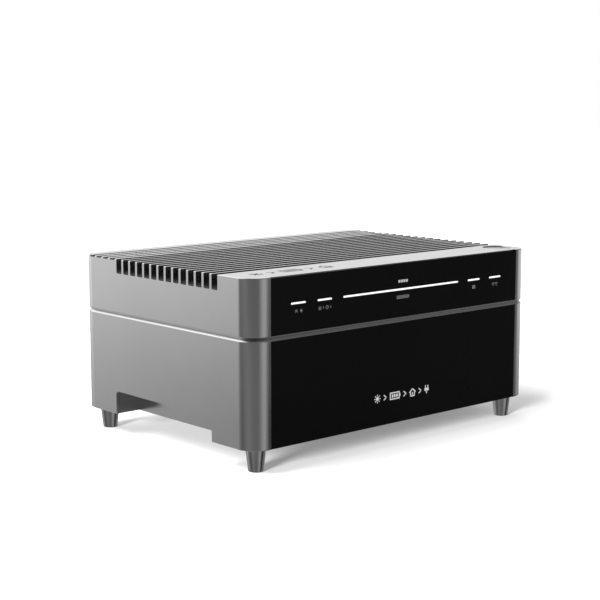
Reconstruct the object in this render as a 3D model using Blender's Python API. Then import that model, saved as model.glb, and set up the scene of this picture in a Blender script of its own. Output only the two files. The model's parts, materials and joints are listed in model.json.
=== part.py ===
"""Home energy storage unit: a finned power head stacked on a battery module with four feet.

Metres, +Z up. X runs across the front and Y from the front glass (-Y) to the rear. The origin is on the
floor, under the middle of the box. Solids that touch keep the gap FIT between them.
"""

import math

import bmesh
import bpy
from mathutils import Matrix, Vector

MM = 0.001

# Overall
WIDTH = 460 * MM
DEPTH = 328 * MM
MODULE_HEIGHT = 122.8 * MM  # battery module, without the feet
HEAD_HEIGHT = 66.8 * MM
FOOT_HEIGHT = 27.5 * MM
CORNER = 24 * MM  # radius of the upright edges
WALL = 4 * MM
FIT = 0.3 * MM
SEAM_CHAMFER = 2.5 * MM  # on both housings, so that the seam is a V-groove
EDGE = 0.6 * MM  # broken edge at the top and the bottom

# Front glass
GLASS = 3 * MM
GLASS_HALF = 203.1 * MM
GLASS_LIP = 0.1 * MM  # metal left between a glass pocket and the seam's chamfer

# Cooling fins
STRIP_BEHIND_BUTTON = 8 * MM  # flat top between the button's hole and the first slot
REAR_STRIP = 19.5 * MM  # least flat top behind the last slot
SLOT = 10 * MM
FIN = 4.05 * MM
SLOT_DEPTH = 16.3 * MM
SHALLOW_SLOTS = 4  # at the rear, over the connector bay
SHALLOW_DEPTH = 1.7 * MM
FIN_EDGE = 0.5 * MM
SLOT_FLOOR = 3.5 * MM

# Finger recess on both sides
RECESS_LENGTH = 185 * MM
RECESS_HEIGHT = 28 * MM
RECESS_DEPTH = 33 * MM
RECESS_CORNER = 4 * MM
LINER = 2 * MM

# Feet
FOOT_INSET_X = 23.4 * MM
FOOT_INSET_Y = 22.5 * MM
FOOT_TOP_RADIUS = 11.8 * MM
FOOT_TIP_RADIUS = 8.7 * MM
PAD_RADIUS = 7.4 * MM
PAD_HEIGHT = 2.5 * MM
PAD_SHOWS = 0.5 * MM
STUD_RADIUS = 4 * MM
STUD_LENGTH = 9 * MM
BOSS_RADIUS = 9 * MM
BOSS_HEIGHT = 7 * MM

# Plates and boards
BASE_PLATE = 3 * MM
BASE_RISE = 0.5 * MM
TRAY = 3 * MM
TOP_PLATE = 3 * MM
TOP_PLATE_DROP = 3.3 * MM  # below the parting plane
HEAD_PLATE = 2 * MM
HEAD_PLATE_RISE = 0.6 * MM
BOARD = 1.6 * MM
BOARD_RISE = 3.1 * MM
POST_RADIUS = 4 * MM
GASKET_INSET = 4 * MM
GASKET_WIDTH = 6 * MM
CUT_OVER = 4 * MM  # how far a cutter reaches past what it cuts

# What the boards carry: (low, high) spans along X or Y, and heights
BMS_BOARD = (-90 * MM, 92 * MM)
BMS_BOARD_RISE = 9 * MM  # over the module's base plate
BMS_BOARD_HEIGHT = 78 * MM
HEATSINK_Y = (-20 * MM, 70 * MM)
HEATSINK_THICK = 12 * MM
HEATSINK_HALF_HEIGHT = 23 * MM
FUSE_Y = (-75 * MM, -35 * MM)
FUSE_THICK = 14 * MM
FUSE_HALF_HEIGHT = 9 * MM
BOARD_MARGIN = 26 * MM  # from the head's walls to the inverter board
BOARD_FRONT_ROOM = 56 * MM  # ahead of the inverter board
POST_INSET = 12 * MM
POWER_X = (-150 * MM, -30 * MM)
POWER_Y = (-20 * MM, 60 * MM)
POWER_THICK = 12 * MM
SPREADER_MARGIN = 5 * MM
COIL_X = (30 * MM, 90 * MM)
COIL_Y = (-60 * MM, 0 * MM)
COIL_SHARE = 0.8  # of the room between the board and the fins
CAPACITOR_X = 125 * MM
CAPACITOR_Y = (-55 * MM, -20 * MM)
CAPACITOR_RADIUS = 12.5 * MM
CAPACITOR_SHARE = 0.85

# Cells: they fill the room that the module leaves
CELL_COLUMNS = 4
CELL_ROWS = 2
CELL_GAP = 0.4 * MM
CELL_END_ROOM = 35.6 * MM  # beside the block, to the recess liner
CELL_SIDE_ROOM = 9.8 * MM  # before and behind the block
CELL_TOP_ROOM = 11.4 * MM  # above the cell cases
TERMINAL_RADIUS = 7 * MM
TERMINAL_HEIGHT = 2 * MM
TERMINAL_INSET = 24 * MM  # from the ends of a cell
END_PLATE = 8 * MM
BUSBAR_PLATE = 2 * MM

# Stacking connector between module and head
PLUG_Y = 60 * MM
PLUG_SIZE = (61 * MM, 15 * MM)
PLUG_SKIRT = 6.5 * MM  # socket wall around the plug
PLUG_PLAY = 0.5 * MM
PLUG_REACH = 10 * MM
SOCKET_STANDS = 2.6 * MM  # over the top plate
SOCKET_FLOOR = 2 * MM

# Light bars: centre from the middle of the glass, and length
LIGHT_BARS = {
    "light_bar_grid": (-163.4 * MM, 21.5 * MM),
    "light_bar_backup": (-124.2 * MM, 21.5 * MM),
    "light_bar_charge": (0 * MM, 191.4 * MM),
    "light_bar_solar": (124.2 * MM, 21.5 * MM),
    "light_bar_network": (163.4 * MM, 21.5 * MM),
}
BAR_DROP = 31.2 * MM  # from the top of the head
BAR_THICK = 2.4 * MM
BAR_WINDOW = (180 * MM, 7 * MM)  # half length and half height of the opening behind the glass
DISPLAY_HALF = (185 * MM, 18 * MM)

# Power button
BUTTON_RADIUS = 17.6 * MM
BUTTON_PLAY = 0.4 * MM
BUTTON_EDGE_X = 7.4 * MM  # from the side to the button's hole
BUTTON_EDGE_Y = 15 * MM  # from the front to the button's hole
BUTTON_SUNK = 1.5 * MM
BUTTON_THICK = 3 * MM
BUTTON_TRAVEL = 1.5 * MM
STEM_RADIUS = 4 * MM
STEM_LENGTH = 7 * MM
CUP_WALL = 2 * MM
CUP_FLOOR = 1 * MM

# Connector bay in the rear of the head
BAY_HALF = 175 * MM
BAY_RISE = 6.7 * MM  # from the parting plane
BAY_HEIGHT = 46 * MM
BAY_DEPTH = 18.3 * MM
PANEL = 2 * MM
PANEL_BACK_ROOM = 6 * MM  # that the connectors need behind the panel
SOLAR_X = (-150 * MM, -125 * MM)
SOLAR_Z = 11 * MM  # above and below the bay's middle
SOLAR_RADIUS = 7 * MM
SOLAR_FLANGE = 9.5 * MM
GRID_X = -70 * MM
GRID_RADIUS = 15 * MM
OUTLET_X = 10 * MM
OUTLET_SIZE = 44 * MM
OUTLET_CAVITY = 17 * MM
OUTLET_THICK = 11 * MM
CONTACT_RADIUS = 2.4 * MM
CONTACT_SPACING = 19 * MM
COVER_WIDTH = 37.4 * MM
COVER_THICK = 2.2 * MM
HINGE_RADIUS = 1.6 * MM
HINGE_PIN = 0.9 * MM
HINGE_DROP = 2.2 * MM  # from the top of the outlet
DATA_X = 62 * MM
DATA_SIZE = (17 * MM, 15 * MM)
DATA_DEPTH = 8 * MM
GROUND_X = 140 * MM
GROUND_RADIUS = 5 * MM

ARC_STEPS = 6  # per quarter circle
ROUND_STEPS = 24

# Planes worked out from the sizes above
SIDE = WIDTH / 2
FRONT = -DEPTH / 2
REAR = DEPTH / 2
BOTTOM = FOOT_HEIGHT
SEAM = BOTTOM + MODULE_HEIGHT
TOP = SEAM + HEAD_HEIGHT
MODULE_TOP = SEAM - FIT / 2
HEAD_BOTTOM = SEAM + FIT / 2
INNER_SIDE = SIDE - WALL
INNER_FRONT = FRONT + GLASS + FIT + WALL
INNER_REAR = REAR - WALL
INNER_CORNER = CORNER - WALL
PITCH = SLOT + FIN
BUTTON_HOLE = BUTTON_RADIUS + BUTTON_PLAY
FRONT_STRIP = BUTTON_EDGE_Y + 2 * BUTTON_HOLE + STRIP_BEHIND_BUTTON  # flat top ahead of the first slot
SLOT_COUNT = int((DEPTH - FRONT_STRIP - REAR_STRIP + FIN) / PITCH)
DEEP_SLOTS = SLOT_COUNT - SHALLOW_SLOTS
FIRST_SLOT = FRONT + FRONT_STRIP
FIN_ROOM_TOP = TOP - SLOT_DEPTH - SLOT_FLOOR
CEILING = TOP - WALL
BASE_TOP = BOTTOM + BASE_RISE + BASE_PLATE
CELL_BOTTOM = BASE_TOP + FIT + TRAY + FIT
TOP_PLATE_TOP = SEAM - TOP_PLATE_DROP
CELL_TOP = TOP_PLATE_TOP - TOP_PLATE - CELL_TOP_ROOM
BLOCK_HALF_X = SIDE - RECESS_DEPTH - LINER - CELL_END_ROOM
BLOCK_FRONT = INNER_FRONT + CELL_SIDE_ROOM
BLOCK_REAR = INNER_REAR - CELL_SIDE_ROOM
CELL_LENGTH = (BLOCK_REAR - BLOCK_FRONT + CELL_GAP) / CELL_ROWS - CELL_GAP
TERMINAL_SPACING = CELL_LENGTH - 2 * TERMINAL_INSET
HEAD_PLATE_TOP = SEAM + HEAD_PLATE_RISE + HEAD_PLATE
BOARD_BOTTOM = HEAD_PLATE_TOP + BOARD_RISE
BOARD_TOP = BOARD_BOTTOM + BOARD
BAY_BOTTOM = SEAM + BAY_RISE
BAY_TOP = BAY_BOTTOM + BAY_HEIGHT
BAY_MIDDLE = (BAY_BOTTOM + BAY_TOP) / 2
PANEL_FACE = REAR - BAY_DEPTH
OUTLET_FACE = PANEL_FACE + FIT + OUTLET_THICK
BUTTON_CENTRE = Vector((
    SIDE - BUTTON_EDGE_X - BUTTON_HOLE, FRONT + BUTTON_EDGE_Y + BUTTON_HOLE, TOP - BUTTON_SUNK,
))
HINGE_CENTRE = Vector((OUTLET_X, OUTLET_FACE + FIT + HINGE_RADIUS, BAY_MIDDLE + OUTLET_SIZE / 2 - HINGE_DROP))
BAR_HEIGHT = TOP - BAR_DROP


# Materials: base colour, roughness, metallic
FINISHES = {
    "silver_body": ((0.56, 0.56, 0.57), 0.38, 0.9),
    "black_glass": ((0.006, 0.006, 0.007), 0.08, 0.0),
    "dark_steel": ((0.25, 0.25, 0.26), 0.25, 1.0),
    "light_guide": ((0.95, 0.97, 1.0), 0.3, 0.0),
    "black_plastic": ((0.03, 0.03, 0.03), 0.5, 0.0),
    "rubber": ((0.02, 0.02, 0.02), 0.8, 0.0),
    "cell_case": ((0.1, 0.22, 0.45), 0.35, 0.1),
    "plain_metal": ((0.6, 0.6, 0.6), 0.4, 1.0),
    "copper": ((0.72, 0.4, 0.22), 0.35, 1.0),
    "green_board": ((0.02, 0.2, 0.08), 0.5, 0.0),
}


def finish(name):
    """The material of this name, made the first time that it is asked for."""
    if name in bpy.data.materials:
        return bpy.data.materials[name]
    colour, roughness, metallic = FINISHES[name]
    made = bpy.data.materials.new(name)
    made.use_nodes = True
    shader = made.node_tree.nodes["Principled BSDF"]
    shader.inputs["Base Color"].default_value = (*colour, 1)
    shader.inputs["Roughness"].default_value = roughness
    shader.inputs["Metallic"].default_value = metallic
    return made


# Shapes


def add_object(name, mesh, material):
    """Puts a bmesh into the scene as an object, smooth where its faces nearly line up."""
    bmesh.ops.recalc_face_normals(mesh, faces=mesh.faces)
    data = bpy.data.meshes.new(name)
    mesh.to_mesh(data)
    mesh.free()
    data.shade_smooth()
    data.set_sharp_from_angle(angle=math.radians(30))
    data.materials.append(finish(material))
    made = bpy.data.objects.new(name, data)
    bpy.context.scene.collection.objects.link(made)
    return made


def rounded_rectangle(x, y, radius):
    """Corner points of a rectangle with round corners, where x and y are (low, high)."""
    points = []
    for centre_x, centre_y, start in (
        (x[1] - radius, y[1] - radius, 0),
        (x[0] + radius, y[1] - radius, 90),
        (x[0] + radius, y[0] + radius, 180),
        (x[1] - radius, y[0] + radius, 270),
    ):
        for step in range(ARC_STEPS + 1):
            angle = math.radians(start + 90 * step / ARC_STEPS)
            points.append((centre_x + radius * math.cos(angle), centre_y + radius * math.sin(angle)))
    return points


def circle(radius, steps=ROUND_STEPS):
    angles = [2 * math.pi * step / steps for step in range(steps)]
    return [(radius * math.cos(angle), radius * math.sin(angle)) for angle in angles]


def lofted(name, rings, material, closed=False):
    """A solid through level outlines, given as (points, z). A closed one comes back to its first outline."""
    mesh = bmesh.new()
    loops = [[mesh.verts.new((x, y, z)) for x, y in points] for points, z in rings]
    pairs = list(zip(loops, loops[1:]))
    if closed:
        pairs.append((loops[-1], loops[0]))
    else:
        mesh.faces.new(loops[0])
        mesh.faces.new(loops[-1])
    for low, high in pairs:
        for i in range(len(low)):
            j = (i + 1) % len(low)
            mesh.faces.new((low[i], low[j], high[j], high[i]))
    return add_object(name, mesh, material)


def block(name, x, y, z, material, edge=0.0):
    """A box between (low, high) pairs, with its edges cut off where edge is given."""
    mesh = bmesh.new()
    size = Vector((x[1] - x[0], y[1] - y[0], z[1] - z[0]))
    centre = Vector((sum(x) / 2, sum(y) / 2, sum(z) / 2))
    matrix = Matrix.Translation(centre) @ Matrix.Diagonal((*size, 1))
    bmesh.ops.create_cube(mesh, size=1, matrix=matrix)
    if edge:
        bmesh.ops.bevel(mesh, geom=mesh.edges[:], offset=edge, segments=1, affect="EDGES")
    return add_object(name, mesh, material)


def turned(name, profile, centre, material, steps=ROUND_STEPS, axis="Z"):
    """A solid of revolution about a line along axis through centre. The profile is (radius, height)."""
    made = lofted(name, [(circle(radius, steps), height) for radius, height in profile], material)
    turns = {"X": (math.pi / 2, 4, "Y"), "Y": (-math.pi / 2, 4, "X"), "Z": (0, 4, "Z")}
    made.data.transform(Matrix.Translation(centre) @ Matrix.Rotation(*turns[axis]))
    return made


def prism_x(name, outline, x, material):
    """A solid along X with this outline of (y, z) points."""
    made = lofted(name, [(outline, x[0]), (outline, x[1])], material)
    made.data.transform(Matrix(((0, 0, 1, 0), (1, 0, 0, 0), (0, 1, 0, 0), (0, 0, 0, 1))))
    return made


def use_tool(target, tool, operation):
    modifier = target.modifiers.new(f"{operation.lower()} {tool.name}", "BOOLEAN")
    modifier.operation = operation
    modifier.solver = "EXACT"
    modifier.object = tool
    tool.hide_render = True
    tool.display_type = "WIRE"


def cut(target, tool):
    use_tool(target, tool, "DIFFERENCE")


def join(target, tool):
    use_tool(target, tool, "UNION")


def grown(span, by):
    return (span[0] - by, span[1] + by)


def around(middle, half):
    return (middle - half, middle + half)


def joint_empty(name, place, pieces):
    """An empty on the joint's axis, and the moving pieces as its children."""
    empty = bpy.data.objects.new(name, None)
    empty.empty_display_size = 20 * MM
    empty.location = place
    bpy.context.scene.collection.objects.link(empty)
    for piece in pieces:
        piece.parent = empty
        piece.matrix_parent_inverse = Matrix.Translation(place).inverted()
    return empty


# Battery module


def outer_outline(inset):
    return rounded_rectangle(around(0, SIDE - inset), around(0, REAR - inset), CORNER - inset)


def inner_outline(inset):
    y = (INNER_FRONT + inset, INNER_REAR - inset)
    return rounded_rectangle(around(0, INNER_SIDE - inset), y, INNER_CORNER - inset)


def recess_outline():
    """Outline of the finger recess, seen along X, open downwards."""
    z = (BOTTOM - RECESS_CORNER - CUT_OVER, BOTTOM + RECESS_HEIGHT)
    return rounded_rectangle(around(0, RECESS_LENGTH / 2), z, RECESS_CORNER)


def battery_shell():
    shell = lofted(
        "battery_shell",
        [
            (outer_outline(EDGE), BOTTOM),
            (outer_outline(0), BOTTOM + EDGE),
            (outer_outline(0), MODULE_TOP - SEAM_CHAMFER),
            (outer_outline(SEAM_CHAMFER), MODULE_TOP),
            (inner_outline(0), MODULE_TOP),
            (inner_outline(0), BOTTOM),
        ],
        "silver_body",
        closed=True,
    )
    pocket_top = MODULE_TOP - SEAM_CHAMFER - GLASS_LIP
    cut(shell, block(
        "cutter_module_glass", around(0, GLASS_HALF + FIT), (FRONT - CUT_OVER, FRONT + GLASS + FIT),
        (BOTTOM - CUT_OVER, pocket_top), "black_plastic",
    ))
    cut(shell, prism_x("cutter_recess", recess_outline(), around(0, SIDE + CUT_OVER), "black_plastic"))
    glass_z = (BOTTOM + FIT, pocket_top - FIT)
    block("battery_front_glass", around(0, GLASS_HALF), (FRONT, FRONT + GLASS), glass_z, "black_glass")


def recess_liners():
    inner, outer = SIDE - RECESS_DEPTH, INNER_SIDE - FIT
    y = around(0, RECESS_LENGTH / 2 + LINER)
    z = (BOTTOM + FIT, BOTTOM + RECESS_HEIGHT + LINER)
    for name, side in (("left", -1), ("right", 1)):
        x = sorted((side * (inner - LINER), side * outer))
        liner = block(f"recess_liner_{name}", x, y, z, "silver_body")
        reach = sorted((side * inner, side * (SIDE + CUT_OVER)))
        cut(liner, prism_x(f"cutter_liner_{name}", recess_outline(), reach, "black_plastic"))


def foot_centres():
    x, y = SIDE - FOOT_INSET_X, REAR - FOOT_INSET_Y
    return {"front_left": (-x, -y), "front_right": (x, -y), "rear_left": (-x, y), "rear_right": (x, y)}


def battery_base():
    z = (BOTTOM + BASE_RISE, BASE_TOP)
    base = lofted("battery_base", [(inner_outline(FIT), z[0]), (inner_outline(FIT), z[1])], "plain_metal")
    reach = SIDE - RECESS_DEPTH - LINER - FIT
    for side in (-1, 1):
        x = sorted((side * reach, side * SIDE))
        y = around(0, RECESS_LENGTH / 2 + LINER + FIT)
        cut(base, block(f"cutter_base_{side}", x, y, grown(z, CUT_OVER), "black_plastic"))
    for name, (x, y) in foot_centres().items():
        boss = [(BOSS_RADIUS, (z[0] + z[1]) / 2), (BOSS_RADIUS, BASE_TOP + BOSS_HEIGHT)]
        join(base, turned(f"boss_{name}", boss, (x, y, 0), "plain_metal"))
        hole_z = (BOTTOM - CUT_OVER, BASE_TOP + BOSS_HEIGHT + CUT_OVER)
        hole = [(STUD_RADIUS + FIT, hole_z[0]), (STUD_RADIUS + FIT, hole_z[1])]
        cut(base, turned(f"cutter_stud_{name}", hole, (x, y, 0), "black_plastic"))


def feet():
    foot_top = BOTTOM + BASE_RISE - FIT
    outline = [
        (PAD_RADIUS + FIT, PAD_HEIGHT + FIT),  # the seat of the rubber pad, inside the foot's tip
        (PAD_RADIUS + FIT, PAD_SHOWS),
        (FOOT_TIP_RADIUS - EDGE / 2, PAD_SHOWS),
        (FOOT_TIP_RADIUS, PAD_SHOWS + EDGE),
        (FOOT_TOP_RADIUS, foot_top),
        (STUD_RADIUS, foot_top),
        (STUD_RADIUS, foot_top + STUD_LENGTH),
    ]
    for name, (x, y) in foot_centres().items():
        turned(f"foot_{name}", outline, (x, y, 0), "dark_steel")
        turned(f"foot_pad_{name}", [(PAD_RADIUS, 0), (PAD_RADIUS, PAD_HEIGHT)], (x, y, 0), "rubber")


def cell_centres():
    width = (2 * BLOCK_HALF_X + CELL_GAP) / CELL_COLUMNS
    for row in range(CELL_ROWS):
        for column in range(CELL_COLUMNS):
            x = -BLOCK_HALF_X + width * (column + 0.5) - CELL_GAP / 2
            y = BLOCK_FRONT + (CELL_LENGTH + CELL_GAP) * row + CELL_LENGTH / 2
            yield (x, y), (width - CELL_GAP, CELL_LENGTH)


def cell_stack():
    middle_y = (BLOCK_FRONT + BLOCK_REAR) / 2
    half_y = (BLOCK_REAR - BLOCK_FRONT) / 2
    plate_inner = BLOCK_HALF_X + FIT
    tray_half = plate_inner + END_PLATE + LINER
    tray_z = (BASE_TOP + FIT, CELL_BOTTOM - FIT)
    block("cell_tray", around(0, tray_half), around(middle_y, half_y + LINER), tray_z, "black_plastic")
    terminal_top = CELL_TOP + TERMINAL_HEIGHT
    for number, ((x, y), (width, length)) in enumerate(cell_centres(), start=1):
        cell_x, cell_y = around(x, width / 2), around(y, length / 2)
        cell = block(f"cell_{number}", cell_x, cell_y, (CELL_BOTTOM, CELL_TOP), "cell_case", edge=EDGE)
        for pole, side in (("minus", -1), ("plus", 1)):
            outline = [(TERMINAL_RADIUS, CELL_TOP - EDGE), (TERMINAL_RADIUS, terminal_top)]
            centre = (x, y + side * TERMINAL_SPACING / 2, 0)
            join(cell, turned(f"terminal_{number}_{pole}", outline, centre, "plain_metal", steps=16))
    for name, side in (("left", -1), ("right", 1)):
        x = sorted((side * plate_inner, side * (plate_inner + END_PLATE)))
        z = (CELL_BOTTOM, CELL_TOP)
        block(f"end_plate_{name}", x, around(middle_y, half_y), z, "plain_metal", edge=EDGE)
    plate_half_y = TERMINAL_SPACING / 2 + 2 * TERMINAL_RADIUS
    busbar_z = (terminal_top + FIT, terminal_top + FIT + BUSBAR_PLATE)
    for name, y in (("front", middle_y - half_y / 2), ("rear", middle_y + half_y / 2)):
        x = around(0, BLOCK_HALF_X - TERMINAL_RADIUS)
        block(f"busbar_plate_{name}", x, around(y, plate_half_y), busbar_z, "copper", edge=EDGE)


def battery_electronics():
    """The management board on the left end plate, and what it carries."""
    face = -(BLOCK_HALF_X + FIT + END_PLATE + FIT)
    board_back = face - BOARD
    low = BASE_TOP + BMS_BOARD_RISE
    middle = low + BMS_BOARD_HEIGHT / 2
    block("bms_board", (board_back, face), BMS_BOARD, (low, low + BMS_BOARD_HEIGHT), "green_board")
    seat = board_back - FIT
    sink_z = around(middle, HEATSINK_HALF_HEIGHT)
    block("bms_heatsink", (seat - HEATSINK_THICK, seat), HEATSINK_Y, sink_z, "plain_metal", edge=EDGE)
    fuse_z = around(middle, FUSE_HALF_HEIGHT)
    block("main_fuse", (seat - FUSE_THICK, seat), FUSE_Y, fuse_z, "black_plastic", edge=EDGE)


def battery_top():
    z = (TOP_PLATE_TOP - TOP_PLATE, TOP_PLATE_TOP)
    outline = inner_outline(FIT)
    top_plate = lofted("battery_top_plate", [(outline, z[0]), (outline, z[1])], "plain_metal")
    half_x, half_y = PLUG_SIZE[0] / 2 + PLUG_PLAY, PLUG_SIZE[1] / 2 + PLUG_PLAY
    block_x, block_y = around(0, half_x + PLUG_SKIRT), around(PLUG_Y, half_y + PLUG_SKIRT)
    cut(top_plate, block("cutter_socket_hole", grown(block_x, FIT), grown(block_y, FIT), grown(z, CUT_OVER),
                         "black_plastic"))
    plug_tip = SEAM - PLUG_REACH
    cavity_bottom = plug_tip - PLUG_PLAY
    socket_z = (cavity_bottom - SOCKET_FLOOR, TOP_PLATE_TOP + SOCKET_STANDS)
    socket = block("battery_socket", block_x, block_y, socket_z, "black_plastic")
    cavity_z = (cavity_bottom, SEAM + CUT_OVER)
    cut(socket, block("cutter_socket", around(0, half_x), around(PLUG_Y, half_y), cavity_z, "black_plastic"))
    outer, inner = inner_outline(GASKET_INSET), inner_outline(GASKET_INSET + GASKET_WIDTH)
    low, high = TOP_PLATE_TOP + FIT, SEAM + HEAD_PLATE_RISE - FIT
    lofted("seam_gasket", [(outer, low), (outer, high), (inner, high), (inner, low)], "rubber", closed=True)


# Power head


def slot_outline(low, depth):
    """Outline of one slot between two fins, seen along X. It flares where the fins' edges are broken."""
    flare = FIN_EDGE + CUT_OVER
    high = low + SLOT
    return [
        (low, TOP - depth), (high, TOP - depth), (high, TOP - FIN_EDGE), (high + flare, TOP + CUT_OVER),
        (low - flare, TOP + CUT_OVER), (low, TOP - FIN_EDGE),
    ]


def slot_cutters():
    """Every other slot in one cutter and the rest in a second, because their flares meet above the fins."""
    for group in (0, 1):
        mesh = bmesh.new()
        for number in range(group, SLOT_COUNT, 2):
            depth = SLOT_DEPTH if number < DEEP_SLOTS else SHALLOW_DEPTH
            outline = slot_outline(FIRST_SLOT + number * PITCH, depth)
            ends = []
            for x in around(0, SIDE + CUT_OVER):
                ends.append([mesh.verts.new((x, y, z)) for y, z in outline])
                mesh.faces.new(ends[-1])
            for i in range(len(outline)):
                j = (i + 1) % len(outline)
                mesh.faces.new((ends[0][i], ends[0][j], ends[1][j], ends[1][i]))
        yield add_object(f"cutter_slots_{group}", mesh, "black_plastic")


def head_housing():
    housing = lofted(
        "head_housing",
        [
            (outer_outline(SEAM_CHAMFER), HEAD_BOTTOM),
            (outer_outline(0), HEAD_BOTTOM + SEAM_CHAMFER),
            (outer_outline(0), TOP - EDGE),
            (outer_outline(EDGE), TOP),
        ],
        "silver_body",
    )
    room = inner_outline(0)
    room_z = (HEAD_BOTTOM - CUT_OVER, CEILING)
    cut(housing, lofted("cutter_head_room", [(room, room_z[0]), (room, room_z[1])], "black_plastic"))
    fin_block_y = (FIRST_SLOT - WALL, FIRST_SLOT + DEEP_SLOTS * PITCH - FIN + WALL)
    sunk = WALL / 4  # how far the fin block runs into the walls
    fin_block_z = (FIN_ROOM_TOP, CEILING + sunk)
    join(housing, block("fin_block", around(0, INNER_SIDE + sunk), fin_block_y, fin_block_z, "silver_body"))
    for cutter in slot_cutters():
        cut(housing, cutter)
    pocket_bottom = HEAD_BOTTOM + SEAM_CHAMFER + GLASS_LIP
    cut(housing, block(
        "cutter_head_glass", around(0, GLASS_HALF + FIT), (FRONT - CUT_OVER, FRONT + GLASS + FIT),
        (pocket_bottom, TOP + CUT_OVER), "black_plastic",
    ))
    cut(housing, block(
        "cutter_light_window", around(0, BAR_WINDOW[0]), (FRONT, INNER_FRONT + CUT_OVER),
        around(BAR_HEIGHT, BAR_WINDOW[1]), "black_plastic",
    ))
    cut(housing, block(
        "cutter_bay", around(0, BAY_HALF), (INNER_REAR - CUT_OVER, REAR + CUT_OVER), (BAY_BOTTOM, BAY_TOP),
        "black_plastic",
    ))
    hole = [(BUTTON_HOLE, CEILING - CUT_OVER - TOP), (BUTTON_HOLE, CUT_OVER)]
    cut(housing, turned("cutter_button", hole, BUTTON_CENTRE, "black_plastic"))
    return [housing]


def stadium(length, thick):
    """Outline in X and Z of a bar with round ends, about its middle."""
    radius = thick / 2
    return rounded_rectangle(around(0, length / 2), around(0, radius), radius * 0.999)


def along_y(name, outline, centre_x, centre_z, y, material):
    """A solid along Y with this outline of (x, z) points."""
    made = lofted(name, [(outline, y[0]), (outline, y[1])], material)
    made.data.transform(Matrix(((1, 0, 0, centre_x), (0, 0, 1, 0), (0, 1, 0, centre_z), (0, 0, 0, 1))))
    made.data.flip_normals()
    return made


def head_front():
    z = (HEAD_BOTTOM + SEAM_CHAMFER + GLASS_LIP + FIT, TOP - EDGE)
    glass = block("head_front_glass", around(0, GLASS_HALF), (FRONT, FRONT + GLASS), z, "black_glass")
    display_y = (INNER_FRONT + FIT, INNER_FRONT + FIT + BOARD)
    made = [glass]
    for name, (x, length) in LIGHT_BARS.items():
        gap = stadium(length + 2 * FIT, BAR_THICK + 2 * FIT)
        cut(glass, along_y(f"cutter_{name}", gap, x, BAR_HEIGHT, (FRONT - CUT_OVER, FRONT + GLASS + CUT_OVER),
                           "black_plastic"))
        bar = stadium(length, BAR_THICK)
        made.append(along_y(name, bar, x, BAR_HEIGHT, (FRONT, INNER_FRONT), "light_guide"))
    display_x, display_z = around(0, DISPLAY_HALF[0]), around(BAR_HEIGHT, DISPLAY_HALF[1])
    made.append(block("display_board", display_x, display_y, display_z, "green_board"))
    return made


def head_floor():
    """The plate that closes the head, the board on it and what the board carries."""
    z = (SEAM + HEAD_PLATE_RISE, HEAD_PLATE_TOP)
    outline = inner_outline(FIT)
    floor = lofted("head_bottom_plate", [(outline, z[0]), (outline, z[1])], "plain_metal")
    plug_x, plug_y = around(0, PLUG_SIZE[0] / 2), around(PLUG_Y, PLUG_SIZE[1] / 2)
    hole_x, hole_y = grown(plug_x, FIT), grown(plug_y, FIT)
    cut(floor, block("cutter_plug_hole", hole_x, hole_y, grown(z, CUT_OVER), "black_plastic"))
    plug = block("head_plug", plug_x, plug_y, (SEAM - PLUG_REACH, BOARD_BOTTOM - FIT), "black_plastic")
    board_x = around(0, INNER_SIDE - BOARD_MARGIN)
    board_y = (INNER_FRONT + BOARD_FRONT_ROOM, PANEL_FACE - PANEL - PANEL_BACK_ROOM)
    board = block("inverter_board", board_x, board_y, (BOARD_BOTTOM, BOARD_TOP), "green_board")
    for x in grown(board_x, -POST_INSET):
        for y in grown(board_y, -POST_INSET):
            post = [(POST_RADIUS, (z[0] + z[1]) / 2), (POST_RADIUS, BOARD_BOTTOM - FIT)]
            join(floor, turned(f"post_{x:.3f}_{y:.3f}", post, (x, y, 0), "plain_metal", steps=16))
    return [floor, plug, board, *power_parts()]


def power_parts():
    """What stands on the inverter board. The spreader carries the power module's heat to the fins."""
    seat = BOARD_TOP + FIT
    room = FIN_ROOM_TOP - seat
    module_top = seat + POWER_THICK
    made = [block("power_module", POWER_X, POWER_Y, (seat, module_top), "black_plastic", edge=EDGE)]
    made.append(block(
        "heat_spreader", grown(POWER_X, SPREADER_MARGIN), grown(POWER_Y, SPREADER_MARGIN),
        (module_top + FIT, FIN_ROOM_TOP - FIT), "plain_metal", edge=EDGE,
    ))
    coil_z = (seat, seat + COIL_SHARE * room)
    made.append(block("transformer", COIL_X, COIL_Y, coil_z, "copper", edge=2 * EDGE))
    can = [(CAPACITOR_RADIUS, seat), (CAPACITOR_RADIUS, seat + CAPACITOR_SHARE * room)]
    for number, y in enumerate(CAPACITOR_Y, start=1):
        made.append(turned(f"capacitor_{number}", can, (CAPACITOR_X, y, 0), "plain_metal", steps=24))
    return made


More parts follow.
